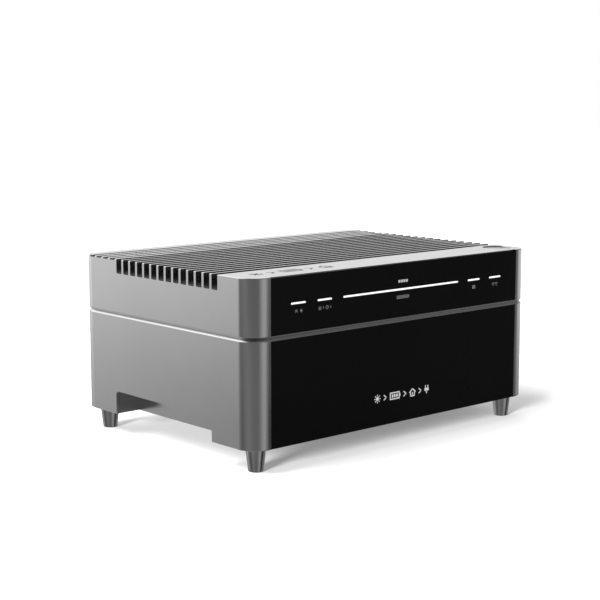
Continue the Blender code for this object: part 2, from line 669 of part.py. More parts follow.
def power_button():
    """The button, and the cup under the top wall that guides its stem and holds its switch."""
    middle = BUTTON_CENTRE
    foot = -BUTTON_THICK
    stem_end = foot - STEM_LENGTH
    button = turned(
        "power_button",
        [(STEM_RADIUS, stem_end), (STEM_RADIUS, foot), (BUTTON_RADIUS, foot), (BUTTON_RADIUS, -EDGE / 2),
         (BUTTON_RADIUS - EDGE / 2, 0)],
        middle, "silver_body",
    )
    lip = CEILING - FIT - middle.z
    cup_floor = foot - BUTTON_TRAVEL - FIT
    guide_bottom = stem_end - BUTTON_TRAVEL - FIT
    guide = STEM_RADIUS + BUTTON_PLAY
    outside = [(BUTTON_HOLE + CUP_WALL, guide_bottom - CUP_FLOOR), (BUTTON_HOLE + CUP_WALL, lip)]
    cup = turned("button_switch", outside, middle, "black_plastic")
    inside = [(BUTTON_HOLE, cup_floor), (BUTTON_HOLE, lip + CUT_OVER)]
    cut(cup, turned("cutter_cup", inside, middle, "black_plastic"))
    guide_hole = [(guide, guide_bottom), (guide, lip + CUT_OVER)]
    cut(cup, turned("cutter_guide", guide_hole, middle, "black_plastic"))
    return button, cup


# Rear connector bay


def connector_panel():
    x, z = around(0, BAY_HALF), (BAY_BOTTOM, BAY_TOP)
    panel = block("connector_panel", grown(x, PANEL), (PANEL_FACE - PANEL, INNER_REAR - FIT), grown(z, PANEL),
                  "black_plastic")
    cut(panel, block("cutter_panel", x, (PANEL_FACE, REAR), z, "black_plastic"))
    return panel


def fit_in_panel(panel, piece, radius, x, z):
    """Cuts the round hole in the panel that this piece passes through."""
    hole = [(radius + FIT, PANEL_FACE - 2 * PANEL), (radius + FIT, PANEL_FACE + PANEL)]
    cut(panel, turned(f"cutter_{piece.name}", hole, (x, 0, z), "black_plastic", axis="Y"))


def solar_inputs(panel):
    made = []
    back = PANEL_FACE - PANEL - PANEL_BACK_ROOM / 2
    seat = PANEL_FACE + FIT
    places = [(x, BAY_MIDDLE + side * SOLAR_Z) for x in SOLAR_X for side in (-1, 1)]
    for number, (x, z) in enumerate(places, start=1):
        outline = [
            (SOLAR_RADIUS, back), (SOLAR_RADIUS, seat), (SOLAR_FLANGE, seat), (SOLAR_FLANGE, seat + 2.5 * MM),
            (SOLAR_RADIUS, seat + 2.5 * MM), (SOLAR_RADIUS, REAR - FIT),
        ]
        piece = turned(f"solar_input_{number}", outline, (x, 0, z), "black_plastic", steps=24, axis="Y")
        fit_in_panel(panel, piece, SOLAR_RADIUS, x, z)
        made.append(piece)
    return made


def grid_inlet(panel):
    seat = PANEL_FACE + FIT
    back = PANEL_FACE - PANEL - PANEL_BACK_ROOM / 2
    neck = GRID_RADIUS - 3 * MM
    centre = (GRID_X, 0, BAY_MIDDLE)
    piece = turned(
        "grid_inlet", [(neck, back), (neck, seat), (GRID_RADIUS, seat), (GRID_RADIUS, REAR - 2 * PANEL)],
        centre, "black_plastic", axis="Y",
    )
    cavity = GRID_RADIUS - PANEL
    cut(piece, turned("cutter_grid_cavity", [(cavity, seat + PANEL), (cavity, REAR)], centre, "black_plastic",
                      axis="Y"))
    fit_in_panel(panel, piece, neck, GRID_X, BAY_MIDDLE)
    return piece


def backup_outlet(panel):
    """The mains outlet with its hinged cover: two ears carry the pins at the ends of the cover's barrel."""
    half = OUTLET_SIZE / 2
    seat = PANEL_FACE + FIT
    z = around(BAY_MIDDLE, half)
    outlet = block("backup_outlet", around(OUTLET_X, half), (seat, OUTLET_FACE), z, "black_plastic")
    neck = [(OUTLET_CAVITY, PANEL_FACE - PANEL - PANEL_BACK_ROOM / 2), (OUTLET_CAVITY, seat + PANEL)]
    centre = (OUTLET_X, 0, BAY_MIDDLE)
    join(outlet, turned("outlet_neck", neck, centre, "black_plastic", axis="Y"))
    ear_inner = COVER_WIDTH / 2 + FIT
    hinge_y, hinge_z = HINGE_CENTRE.y, HINGE_CENTRE.z
    for name, side in (("left", -1), ("right", 1)):
        ear_x = sorted((OUTLET_X + side * ear_inner, OUTLET_X + side * half))
        ear_y, ear_z = (OUTLET_FACE - PANEL, hinge_y + HINGE_RADIUS), (hinge_z - PANEL, z[1])
        join(outlet, block(f"ear_{name}", ear_x, ear_y, ear_z, "black_plastic"))
    cavity = [(OUTLET_CAVITY, seat + PANEL), (OUTLET_CAVITY, REAR)]
    cut(outlet, turned("cutter_outlet", cavity, centre, "black_plastic", axis="Y"))
    for side in (-1, 1):
        place = (OUTLET_X + side * CONTACT_SPACING / 2, 0, BAY_MIDDLE)
        hole = [(CONTACT_RADIUS, PANEL_FACE - PANEL), (CONTACT_RADIUS, REAR)]
        cut(outlet, turned(f"cutter_contact_{side}", hole, place, "black_plastic", steps=16, axis="Y"))
    pin_hole = [(HINGE_PIN + FIT, -SIDE), (HINGE_PIN + FIT, SIDE)]
    cut(outlet, turned("cutter_hinge", pin_hole, HINGE_CENTRE, "black_plastic", steps=16, axis="X"))
    fit_in_panel(panel, outlet, OUTLET_CAVITY, OUTLET_X, BAY_MIDDLE)

    barrel_half = COVER_WIDTH / 2
    pin_end = half - FIT
    barrel = [
        (HINGE_PIN, -pin_end), (HINGE_PIN, -barrel_half), (HINGE_RADIUS, -barrel_half),
        (HINGE_RADIUS, barrel_half), (HINGE_PIN, barrel_half), (HINGE_PIN, pin_end),
    ]
    cover = turned("backup_cover", barrel, HINGE_CENTRE, "black_plastic", steps=16, axis="X")
    leaf_y = (OUTLET_FACE + FIT, OUTLET_FACE + FIT + COVER_THICK)
    leaf_x, leaf_z = around(OUTLET_X, barrel_half - EDGE), (z[0] + FIT, hinge_z)
    join(cover, block("cover_leaf", leaf_x, leaf_y, leaf_z, "black_plastic"))
    return outlet, cover


def data_port(panel):
    seat = PANEL_FACE + FIT
    half_x, half_z = DATA_SIZE[0] / 2, DATA_SIZE[1] / 2
    port_y = (seat, seat + DATA_DEPTH)
    port = block("data_port", around(DATA_X, half_x), port_y, around(BAY_MIDDLE, half_z), "black_plastic")
    neck = half_z - PANEL
    back = PANEL_FACE - PANEL - PANEL_BACK_ROOM / 2
    centre = (DATA_X, 0, BAY_MIDDLE)
    neck_outline = [(neck, back), (neck, seat + PANEL / 2)]
    join(port, turned("data_neck", neck_outline, centre, "black_plastic", axis="Y"))
    cut(port, block("cutter_data", around(DATA_X, half_x - PANEL), (seat + PANEL, REAR),
                    around(BAY_MIDDLE, half_z - PANEL), "black_plastic"))
    fit_in_panel(panel, port, neck, DATA_X, BAY_MIDDLE)
    return port


def ground_terminal(panel):
    seat = PANEL_FACE + FIT
    back = PANEL_FACE - PANEL - PANEL_BACK_ROOM / 2
    shank = GROUND_RADIUS / 2
    outline = [(shank, back), (shank, seat), (GROUND_RADIUS, seat), (GROUND_RADIUS, seat + 4 * MM)]
    piece = turned("ground_terminal", outline, (GROUND_X, 0, BAY_MIDDLE), "copper", steps=24, axis="Y")
    fit_in_panel(panel, piece, shank, GROUND_X, BAY_MIDDLE)
    return piece


def main():
    for old in list(bpy.data.objects):
        bpy.data.objects.remove(old, do_unlink=True)

    battery_shell()
    recess_liners()
    battery_base()
    feet()
    cell_stack()
    battery_electronics()
    battery_top()

    panel = connector_panel()
    outlet, cover = backup_outlet(panel)
    button, cup = power_button()
    head = [*head_housing(), *head_front(), *head_floor(), cup, panel, outlet]
    head += [*solar_inputs(panel), grid_inlet(panel), data_port(panel), ground_terminal(panel)]
    lift = joint_empty("head_lift", (0, 0, SEAM), head)
    for name, place, piece in (("button_press", BUTTON_CENTRE, button), ("cover_hinge", HINGE_CENTRE, cover)):
        pivot = joint_empty(name, place, [piece])
        pivot.parent = lift
        pivot.matrix_parent_inverse = Matrix.Translation((0, 0, SEAM)).inverted()


main()
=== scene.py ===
"""Looks of the two-tier home storage unit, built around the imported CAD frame.

Metres, +Z up, the front glass faces -Y. Sizes come from the frame where it has them. The others are the
design's own values, repeated by name.
"""

import json
import math

import bmesh
import bpy
from mathutils import Matrix, Vector


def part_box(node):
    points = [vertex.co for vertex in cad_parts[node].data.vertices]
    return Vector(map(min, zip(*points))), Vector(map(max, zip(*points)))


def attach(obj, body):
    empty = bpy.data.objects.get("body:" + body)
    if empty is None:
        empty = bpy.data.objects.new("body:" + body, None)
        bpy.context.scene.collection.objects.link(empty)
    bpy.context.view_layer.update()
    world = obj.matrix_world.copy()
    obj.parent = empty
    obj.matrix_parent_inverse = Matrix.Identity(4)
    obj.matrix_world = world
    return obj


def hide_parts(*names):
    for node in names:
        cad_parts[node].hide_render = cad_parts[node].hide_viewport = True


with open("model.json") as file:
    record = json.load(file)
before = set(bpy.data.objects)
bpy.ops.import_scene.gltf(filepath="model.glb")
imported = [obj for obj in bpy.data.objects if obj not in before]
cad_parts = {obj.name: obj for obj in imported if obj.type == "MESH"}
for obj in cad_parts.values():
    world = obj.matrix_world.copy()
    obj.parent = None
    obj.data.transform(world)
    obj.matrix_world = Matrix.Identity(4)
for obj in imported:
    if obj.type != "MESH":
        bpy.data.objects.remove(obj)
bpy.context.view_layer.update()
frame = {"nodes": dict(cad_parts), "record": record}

MM = 0.001

# Design values that the frame doesn't give
CORNER = 24 * MM
WALL = 4 * MM
FIT = 0.3 * MM
SEAM_CHAMFER = 2.5 * MM
EDGE = 0.6 * MM
SOFT_EDGE = 0.35 * MM  # radius of the small roundings between faces
GLASS_LIP = 0.1 * MM
FRONT_STRIP = 58.6 * MM
SLOT = 10.4 * MM
FIN = 3.65 * MM
SLOT_COUNT = 18
SHALLOW_SLOTS = 4
SLOT_DEPTH = 17.2 * MM
SHALLOW_DEPTH = 0.6 * MM
SHALLOW_END = (6 * MM, 1.7 * MM)  # length and depth of a shallow slot where it leaves the side
SLOT_FLOOR = 2.6 * MM
FIN_EDGE = 0.5 * MM
RECESS_LENGTH = 185 * MM
RECESS_HEIGHT = 28 * MM
RECESS_DEPTH = 33 * MM
RECESS_CORNER = 4 * MM
LINER = 2 * MM
BAR_THICK = 1.8 * MM
BAR_WINDOW = (180 * MM, 7 * MM)
BUTTON_PLAY = 0.4 * MM
CUT_OVER = 4 * MM

# Planes of the frame
shell_low, shell_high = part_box("battery_shell")
head_low, head_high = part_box("head_housing")
glass_low, glass_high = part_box("head_front_glass")
SIDE = shell_high.x
FRONT = shell_low.y
REAR = shell_high.y
BOTTOM = shell_low.z
MODULE_TOP = shell_high.z
HEAD_BOTTOM = head_low.z
TOP = head_high.z
GLASS = glass_high.y - glass_low.y
GLASS_HALF = glass_high.x
INNER_SIDE = SIDE - WALL
INNER_FRONT = FRONT + GLASS + FIT + WALL
INNER_REAR = REAR - WALL
PITCH = SLOT + FIN
DEEP_SLOTS = SLOT_COUNT - SHALLOW_SLOTS
FIRST_SLOT = FRONT + FRONT_STRIP

ARC_STEPS = 20  # per quarter circle
ROUND_STEPS = 64
SMOOTH_ANGLE = 32  # most degrees between two faces that are shaded as one surface
SAME_POINT = 1e-7
FLAT_WEIGHT = 90  # how strongly wide faces lead their corners' shading, where 50 is neutral


# Shading


class Shade:
    """A procedural material being built: a Principled shader and the nodes that feed it."""

    def __init__(self, name, colour, roughness, metallic=0.0, **sockets):
        self.material = bpy.data.materials.new(name)
        self.material.use_nodes = True
        self.tree = self.material.node_tree
        self.shader = self.tree.nodes["Principled BSDF"]
        self.shader.inputs["Base Color"].default_value = (*colour, 1)
        self.shader.inputs["Roughness"].default_value = roughness
        self.shader.inputs["Metallic"].default_value = metallic
        for socket, value in sockets.items():
            self.shader.inputs[socket.replace("_", " ")].default_value = value
        self.place = self.node("ShaderNodeTexCoord").outputs["Object"]

    def node(self, kind, **settings):
        made = self.tree.nodes.new(kind)
        for name, value in settings.items():
            setattr(made, name, value)
        return made

    def link(self, source, target):
        self.tree.links.new(source, target)

    def stretched(self, scale):
        """The object's own coordinates, scaled along X, Y and Z."""
        mapping = self.node("ShaderNodeMapping")
        mapping.inputs["Scale"].default_value = scale
        self.link(self.place, mapping.inputs["Vector"])
        return mapping.outputs["Vector"]

    def noise(self, scale, detail=2.0, along=(1, 1, 1)):
        made = self.node("ShaderNodeTexNoise")
        made.inputs["Scale"].default_value = scale
        made.inputs["Detail"].default_value = detail
        self.link(self.stretched(along), made.inputs["Vector"])
        return made.outputs["Fac"]

    def ranged(self, source, low, high, start=0.3, end=0.7):
        """source, from start to end, mapped to low to high."""
        made = self.node("ShaderNodeMapRange")
        for socket, value in (("From Min", start), ("From Max", end), ("To Min", low), ("To Max", high)):
            made.inputs[socket].default_value = value
        self.link(source, made.inputs["Value"])
        return made.outputs["Result"]

    def ramp(self, source, stops):
        """source through colour stops, given as (place, colour)."""
        made = self.node("ShaderNodeValToRGB")
        elements = made.color_ramp.elements
        while len(elements) < len(stops):
            elements.new(0.5)
        for element, (place, colour) in zip(elements, stops):
            element.position = place
            element.color = (*colour, 1)
        self.link(source, made.inputs["Fac"])
        return made.outputs["Color"]

    def paint(self, source):
        self.link(source, self.shader.inputs["Base Color"])

    def roughen(self, source, low, high):
        self.link(self.ranged(source, low, high), self.shader.inputs["Roughness"])

    def bump(self, source, height, strength=1.0):
        made = self.node("ShaderNodeBump")
        made.inputs["Strength"].default_value = strength
        made.inputs["Distance"].default_value = height
        self.link(source, made.inputs["Height"])
        self.link(made.outputs["Normal"], self.shader.inputs["Normal"])


def tone(colour, share):
    return tuple(min(1.0, channel * share) for channel in colour)


def mottled(name, colour, roughness, metallic=0.0, cloud=12, grain=1500, depth=0.004, spread=0.06, **sockets):
    """A finish with slow changes of tone and a fine grain, as bead-blasted metal or moulded plastic has."""
    shade = Shade(name, colour, roughness, metallic, **sockets)
    clouds = shade.noise(cloud, 3)
    shade.paint(shade.ramp(clouds, [(0.3, tone(colour, 1 - spread)), (0.7, tone(colour, 1 + spread))]))
    grains = shade.noise(grain, 2)
    shade.roughen(shade.noise(cloud * 6, 4), roughness * 0.92, roughness * 1.08)
    shade.bump(grains, depth * MM)
    return shade.material


def polished_steel():
    """Turned and polished foot metal, with fine lathe lines round it."""
    colour = (0.42, 0.42, 0.425)
    shade = Shade("dark_steel", colour, 0.14, 1.0)
    lines = shade.noise(1, 3, along=(30, 30, 6000))
    shade.paint(shade.ramp(shade.noise(60, 2), [(0.3, tone(colour, 0.92)), (0.7, tone(colour, 1.08))]))
    shade.roughen(lines, 0.12, 0.17)
    shade.bump(lines, 0.003 * MM)
    return shade.material


def black_glass():
    """Back-painted glass: a deep black with a hard, faint gloss and a trace of smudging."""
    colour = (0.003, 0.003, 0.0032)
    shade = Shade("black_glass", colour, 0.06, 0.0, Specular_IOR_Level=0.06)
    shade.paint(shade.ramp(shade.noise(4, 2), [(0.3, tone(colour, 0.9)), (0.7, tone(colour, 1.12))]))
    shade.roughen(shade.noise(9, 5), 0.04, 0.1)
    return shade.material


def light_guide():
    shade = Shade("light_guide", (0.25, 0.25, 0.26), 0.35, Emission_Strength=0.9)
    glow = shade.ramp(shade.noise(30, 1), [(0.3, (0.97, 0.98, 1.0)), (0.7, (1, 1, 1))])
    shade.link(glow, shade.shader.inputs["Emission Color"])
    return shade.material


def circuit_board():
    """Solder mask with copper tracks under it."""
    shade = Shade("green_board", (0.02, 0.2, 0.08), 0.4)
    tracks = shade.node("ShaderNodeTexBrick", offset=0.37, squash=0.6, squash_frequency=3)
    for socket, value in (("Scale", 120), ("Mortar Size", 0.012), ("Brick Width", 0.9), ("Row Height", 0.35)):
        tracks.inputs[socket].default_value = value
    tracks.inputs["Color1"].default_value = (0.012, 0.14, 0.055, 1)
    tracks.inputs["Color2"].default_value = (0.016, 0.17, 0.07, 1)
    tracks.inputs["Mortar"].default_value = (0.05, 0.3, 0.12, 1)
    shade.link(shade.place, tracks.inputs["Vector"])
    shade.paint(tracks.outputs["Color"])
    shade.bump(tracks.outputs["Fac"], 0.02 * MM, strength=0.4)
    return shade.material


materials = {
    "silver_body": mottled("silver_body", (0.45, 0.45, 0.455), 0.2, 1.0, cloud=7, grain=1800, depth=0.002,
                           spread=0.02),
    "button_metal": mottled("button_metal", (0.62, 0.62, 0.625), 0.36, 1.0, cloud=7, grain=1800, depth=0.002,
                            spread=0.02),
    "black_glass": black_glass(),
    "dark_steel": polished_steel(),
    "light_guide": light_guide(),
    "black_plastic": mottled("black_plastic", (0.022, 0.022, 0.023), 0.5, cloud=30, grain=2200, depth=0.02),
    "rubber": mottled("rubber", (0.018, 0.018, 0.018), 0.8, cloud=40, grain=1200, depth=0.03),
    "cell_case": mottled("cell_case", (0.06, 0.16, 0.42), 0.35, cloud=20, grain=500, depth=0.01),
    "plain_metal": mottled("plain_metal", (0.55, 0.55, 0.55), 0.38, 1.0, cloud=18, grain=900, depth=0.006),
    "copper": mottled("copper", (0.72, 0.4, 0.22), 0.32, 1.0, cloud=25, grain=900, depth=0.006),
    "green_board": circuit_board(),
    "silver_print": mottled("silver_print", (0.6, 0.6, 0.61), 0.4, 0.3, cloud=60, grain=2500, depth=0.002),
    "grey_print": mottled("grey_print", (0.13, 0.13, 0.132), 0.5, cloud=60, grain=2500, depth=0.002),
    "pale_print": mottled("pale_print", (0.33, 0.33, 0.33), 0.5, cloud=60, grain=2500, depth=0.002),
    "red_band": mottled("red_band", (0.5, 0.03, 0.02), 0.45, cloud=40, grain=2000, depth=0.01),
    "engraved": mottled("engraved", (0.04, 0.04, 0.041), 0.6, 0.0, cloud=80, grain=2500, depth=0.01),
    "white_band": mottled("white_band", (0.75, 0.75, 0.74), 0.45, cloud=40, grain=2000, depth=0.01),
}


# Shapes


def add_piece(name, mesh, finish):
    """Puts a bmesh into the scene as a piece, smooth where its faces nearly line up."""
    bmesh.ops.remove_doubles(mesh, verts=mesh.verts, dist=SAME_POINT)
    bmesh.ops.recalc_face_normals(mesh, faces=mesh.faces)
    data = bpy.data.meshes.new(name)
    mesh.to_mesh(data)
    mesh.free()
    data.shade_smooth()
    data.set_sharp_from_angle(angle=math.radians(SMOOTH_ANGLE))
    data.materials.append(materials[finish])
    made = bpy.data.objects.new(name, data)
    bpy.context.scene.collection.objects.link(made)
    return made


def rounded_rectangle(x, y, radius, steps=ARC_STEPS):
    points = []
    for centre_x, centre_y, start in (
        (x[1] - radius, y[1] - radius, 0),
        (x[0] + radius, y[1] - radius, 90),
        (x[0] + radius, y[0] + radius, 180),
        (x[1] - radius, y[0] + radius, 270),
    ):
        for step in range(steps + 1):
            angle = math.radians(start + 90 * step / steps)
            points.append((centre_x + radius * math.cos(angle), centre_y + radius * math.sin(angle)))
    return points


def circle(radius, steps=ROUND_STEPS):
    angles = [2 * math.pi * step / steps for step in range(steps)]
    return [(radius * math.cos(angle), radius * math.sin(angle)) for angle in angles]


def softened(corners, radius, steps=3, ends=False):
    """A line of (distance, height) points with its corners rounded. With ends, it is a closed loop."""
    count = len(corners)
    made = []
    for i, corner in enumerate(corners):
        if not ends and i in (0, count - 1):
            made.append(corner)
            continue
        middle = Vector(corner)
        before = Vector(corners[i - 1]) - middle
        after = Vector(corners[(i + 1) % count]) - middle
        reach = min(radius, before.length * 0.45, after.length * 0.45)
        start = middle + before.normalized() * reach
        end = middle + after.normalized() * reach
        for step in range(steps + 1):
            t = step / steps
            made.append(tuple(start * (1 - t) ** 2 + middle * 2 * t * (1 - t) + end * t**2))
    return made


def lofted(name, rings, finish, closed=False):
    """A solid through level outlines, given as (points, z). A closed one comes back to its first outline."""
    mesh = bmesh.new()
    loops = [[mesh.verts.new((x, y, z)) for x, y in points] for points, z in rings]
    pairs = list(zip(loops, loops[1:]))
    if closed:
        pairs.append((loops[-1], loops[0]))
    else:
        mesh.faces.new(loops[0])
        mesh.faces.new(loops[-1])
    for low, high in pairs:
        for i in range(len(low)):
            j = (i + 1) % len(low)
            mesh.faces.new((low[i], low[j], high[j], high[i]))
    return add_piece(name, mesh, finish)


def block(name, x, y, z, finish, edge=0.0, segments=3):
    """A box between (low, high) pairs, with rounded edges where edge is given."""
    mesh = bmesh.new()
    size = Vector((x[1] - x[0], y[1] - y[0], z[1] - z[0]))
    centre = Vector((sum(x) / 2, sum(y) / 2, sum(z) / 2))
    bmesh.ops.create_cube(mesh, size=1, matrix=Matrix.Translation(centre) @ Matrix.Diagonal((*size, 1)))
    if edge:
        bmesh.ops.bevel(mesh, geom=mesh.edges[:], offset=edge, segments=segments, profile=0.5, affect="EDGES")
    return add_piece(name, mesh, finish)


AXIS_TURN = {
    "X": Matrix.Rotation(math.pi / 2, 4, "Y"),
    "Y": Matrix.Rotation(-math.pi / 2, 4, "X"),
    "Z": Matrix(),
}


def turned(name, profile, centre, finish, steps=ROUND_STEPS, axis="Z", soft=0.0, closed=False):
    """A solid of revolution about a line along axis through centre. The profile is (radius, height)."""
    if soft:
        profile = softened(profile, soft, ends=closed)
    made = lofted(name, [(circle(radius, steps), height) for radius, height in profile], finish, closed)
    made.data.transform(Matrix.Translation(centre) @ AXIS_TURN[axis])
    return made


def swept(name, rings, finish, axis):
    """A solid along X or Y through outlines given as (points, place).

    The points are (y, z) along X and (x, z) along Y.
    """
    made = lofted(name, rings, finish)
    rows = {
        "X": ((0, 0, 1, 0), (1, 0, 0, 0), (0, 1, 0, 0)),
        "Y": ((1, 0, 0, 0), (0, 0, 1, 0), (0, 1, 0, 0)),
    }
    made.data.transform(Matrix((*rows[axis], (0, 0, 0, 1))))
    if axis == "Y":
        made.data.flip_normals()
    return made


def combine(target, tool, operation="DIFFERENCE"):
    """Applies a Boolean to target at once, and removes the tool."""
    modifier = target.modifiers.new("tool", "BOOLEAN")
    modifier.operation = operation
    modifier.solver = "EXACT"
    modifier.object = tool
    graph = bpy.context.evaluated_depsgraph_get()
    data = bpy.data.meshes.new_from_object(target.evaluated_get(graph))
    target.modifiers.clear()
    target.data = data
    bpy.data.objects.remove(tool, do_unlink=True)
    data.shade_smooth()
    data.set_sharp_from_angle(angle=math.radians(SMOOTH_ANGLE))


def grown(span, by):
    return (span[0] - by, span[1] + by)


def around(middle, half):
    return (middle - half, middle + half)


def settle(piece, body, slot, *nodes):
    """The piece moves with the body and stands for the CAD nodes. The slot is not used."""
    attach(piece, body)
    if nodes:
        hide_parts(*nodes)
    return piece


def level_faces(piece):
    """Keeps the shading of wide flat faces even where they run into rounded corners."""
    modifier = piece.modifiers.new("level", "WEIGHTED_NORMAL")
    modifier.keep_sharp = True
    modifier.weight = FLAT_WEIGHT


# Casings


def outer_outline(inset):
    return rounded_rectangle(around(0, SIDE - inset), around(0, REAR - inset), CORNER - inset)


def inner_outline(inset):
    y = (INNER_FRONT + inset, INNER_REAR - inset)
    return rounded_rectangle(around(0, INNER_SIDE - inset), y, CORNER - WALL - inset)


def recess_outline(wider=0.0):
    z = (BOTTOM - RECESS_CORNER - CUT_OVER, BOTTOM + RECESS_HEIGHT + wider)
    return rounded_rectangle(around(0, RECESS_LENGTH / 2 + wider), z, RECESS_CORNER + wider, 6)


def battery_shell():
    outer = softened([
        (EDGE, BOTTOM), (0, BOTTOM + EDGE), (0, MODULE_TOP - SEAM_CHAMFER), (SEAM_CHAMFER, MODULE_TOP),
    ], SOFT_EDGE)
    rings = [(outer_outline(inset), z) for inset, z in outer]
    rings += [(inner_outline(0), MODULE_TOP), (inner_outline(0), BOTTOM)]
    shell = lofted("battery_shell_fine", rings, "silver_body", closed=True)
    pocket_top = MODULE_TOP - SEAM_CHAMFER - GLASS_LIP
    combine(shell, block(
        "tool", around(0, GLASS_HALF + FIT), (FRONT - CUT_OVER, FRONT + GLASS + FIT),
        (BOTTOM - CUT_OVER, pocket_top), "silver_body",
    ))
    for side in (-1, 1):
        rings = [(recess_outline(), side * (SIDE - 2 * WALL)), (recess_outline(), side * (SIDE - EDGE))]
        rings += [(recess_outline(EDGE + CUT_OVER), side * (SIDE + CUT_OVER))]
        combine(shell, swept("tool", rings, "silver_body", "X"))
    level_faces(shell)
    return settle(shell, "battery_module", "silver_body", "battery_shell")


def recess_liners():
    for name, side in (("left", -1), ("right", 1)):
        low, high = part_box(f"recess_liner_{name}")
        x, y, z = (low.x, high.x), (low.y, high.y), (low.z, high.z)
        liner = block(f"recess_liner_{name}_fine", x, y, z, "silver_body")
        inner = SIDE - RECESS_DEPTH
        rings = [(recess_outline(), side * inner), (recess_outline(), side * (SIDE + CUT_OVER))]
        combine(liner, swept("tool", rings, "silver_body", "X"))
        settle(liner, "battery_module", "silver_body", f"recess_liner_{name}")


def slot_outline(low, depth):
    """Outline of one slot between two fins, seen along X, with a rounded flare over the fins' edges."""
    high = low + SLOT
    arc = [math.radians(30 * step) for step in range(4)]
    sides = [(FIN_EDGE * (1 - math.cos(angle)), -FIN_EDGE * (1 - math.sin(angle))) for angle in arc]
    foot = min(depth * 0.5, FIN_EDGE * 2)
    bottom = [(low + foot, TOP - depth), (high - foot, TOP - depth), (high, TOP - depth + foot)]
    right = [(high + out, TOP + up) for out, up in sides]
    left = [(low - out, TOP + up) for out, up in reversed(sides)]
    over = [(right[-1][0], TOP + CUT_OVER), (left[0][0], TOP + CUT_OVER)]
    return [*bottom, *right, *over, *left, (low, TOP - depth + foot)]


def head_housing():
    outer = softened([
        (SEAM_CHAMFER, HEAD_BOTTOM), (0, HEAD_BOTTOM + SEAM_CHAMFER), (0, TOP - EDGE), (EDGE, TOP),
    ], SOFT_EDGE)
    housing = lofted("head_housing_fine", [(outer_outline(inset), z) for inset, z in outer], "silver_body")
    ceiling = TOP - WALL
    combine(housing, lofted(
        "tool", [(inner_outline(0), HEAD_BOTTOM - CUT_OVER), (inner_outline(0), ceiling)], "silver_body",
    ))
    fin_block_y = (FIRST_SLOT - WALL, FIRST_SLOT + DEEP_SLOTS * PITCH - FIN + WALL)
    sunk = WALL / 4
    combine(housing, block(
        "tool", around(0, INNER_SIDE + sunk), fin_block_y, (TOP - SLOT_DEPTH - SLOT_FLOOR, ceiling + sunk),
        "silver_body",
    ), "UNION")
    for number in range(SLOT_COUNT):
        depth = SLOT_DEPTH if number < DEEP_SLOTS else SHALLOW_DEPTH
        outline = slot_outline(FIRST_SLOT + number * PITCH, depth)
        rings = [(outline, -SIDE - CUT_OVER), (outline, SIDE + CUT_OVER)]
        combine(housing, swept("tool", rings, "silver_body", "X"))
    for number in range(DEEP_SLOTS, SLOT_COUNT):
        outline = slot_outline(FIRST_SLOT + number * PITCH, SHALLOW_END[1])
        for side in (-1, 1):
            ends = sorted((side * (SIDE - SHALLOW_END[0]), side * (SIDE + CUT_OVER)))
            combine(housing, swept("tool", [(outline, end) for end in ends], "silver_body", "X"))
    combine(housing, block(
        "tool", around(0, GLASS_HALF + FIT), (FRONT - CUT_OVER, FRONT + GLASS + FIT),
        (HEAD_BOTTOM + SEAM_CHAMFER + GLASS_LIP, TOP + CUT_OVER), "silver_body",
    ))
    bar_low, bar_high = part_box("light_bar_charge")
    combine(housing, block(
        "tool", around(0, BAR_WINDOW[0]), (FRONT, INNER_FRONT + CUT_OVER),
        around((bar_low.z + bar_high.z) / 2, BAR_WINDOW[1]), "silver_body",
    ))
    bay_low, bay_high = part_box("connector_panel")
    bay_x, bay_z = (bay_low.x + LINER, bay_high.x - LINER), (bay_low.z + LINER, bay_high.z - LINER)
    opening = rounded_rectangle(bay_x, bay_z, EDGE, 3)
    flare = EDGE + CUT_OVER
    wide = rounded_rectangle(grown(bay_x, flare), grown(bay_z, flare), EDGE + flare, 3)
    rings = [(opening, INNER_REAR - CUT_OVER), (opening, REAR - EDGE), (wide, REAR + CUT_OVER)]
    combine(housing, swept("tool", rings, "silver_body", "Y"))
    button_low, button_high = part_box("power_button")
    centre = Vector(((button_low.x + button_high.x) / 2, (button_low.y + button_high.y) / 2, TOP))
    hole = (button_high.x - button_low.x) / 2 + BUTTON_PLAY
    profile = [(hole, -WALL - CUT_OVER), (hole, -EDGE), (hole + EDGE + CUT_OVER, CUT_OVER)]
    combine(housing, turned("tool", profile, centre, "silver_body"))
    level_faces(housing)
    return settle(housing, "head_unit", "silver_body", "head_housing")


def stadium(length, thick):
    return rounded_rectangle(around(0, length / 2), around(0, thick / 2), thick / 2 * 0.999, 8)


def moved(outline, x, z):
    return [(a + x, b + z) for a, b in outline]


def front_glasses():
    for node, body in (("battery_front_glass", "battery_module"), ("head_front_glass", "head_unit")):
        low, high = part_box(node)
        edge = 0.25 * MM
        x, z = (low.x, high.x), (low.z, high.z)
        sharp = rounded_rectangle(x, z, edge, 3)
        slim = rounded_rectangle(grown(x, -edge), grown(z, -edge), edge * 0.5, 3)
        rings = [(slim, low.y), (sharp, low.y + edge), (sharp, high.y - edge), (slim, high.y)]
        glass = swept(f"{node}_fine", rings, "black_glass", "Y")
        if node == "head_front_glass":
            for bar in light_bar_nodes():
                bar_low, bar_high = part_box(bar)
                gap = stadium(bar_high.x - bar_low.x + 2 * FIT, BAR_THICK + 2 * FIT)
                gap = moved(gap, (bar_low.x + bar_high.x) / 2, (bar_low.z + bar_high.z) / 2)
                combine(glass, swept("tool", [(gap, FRONT - CUT_OVER), (gap, FRONT + GLASS + CUT_OVER)],
                                     "black_glass", "Y"))
        settle(glass, body, "black_glass", node)


def light_bar_nodes():
    return [name for name in sorted(frame["nodes"]) if name.startswith("light_bar_")]


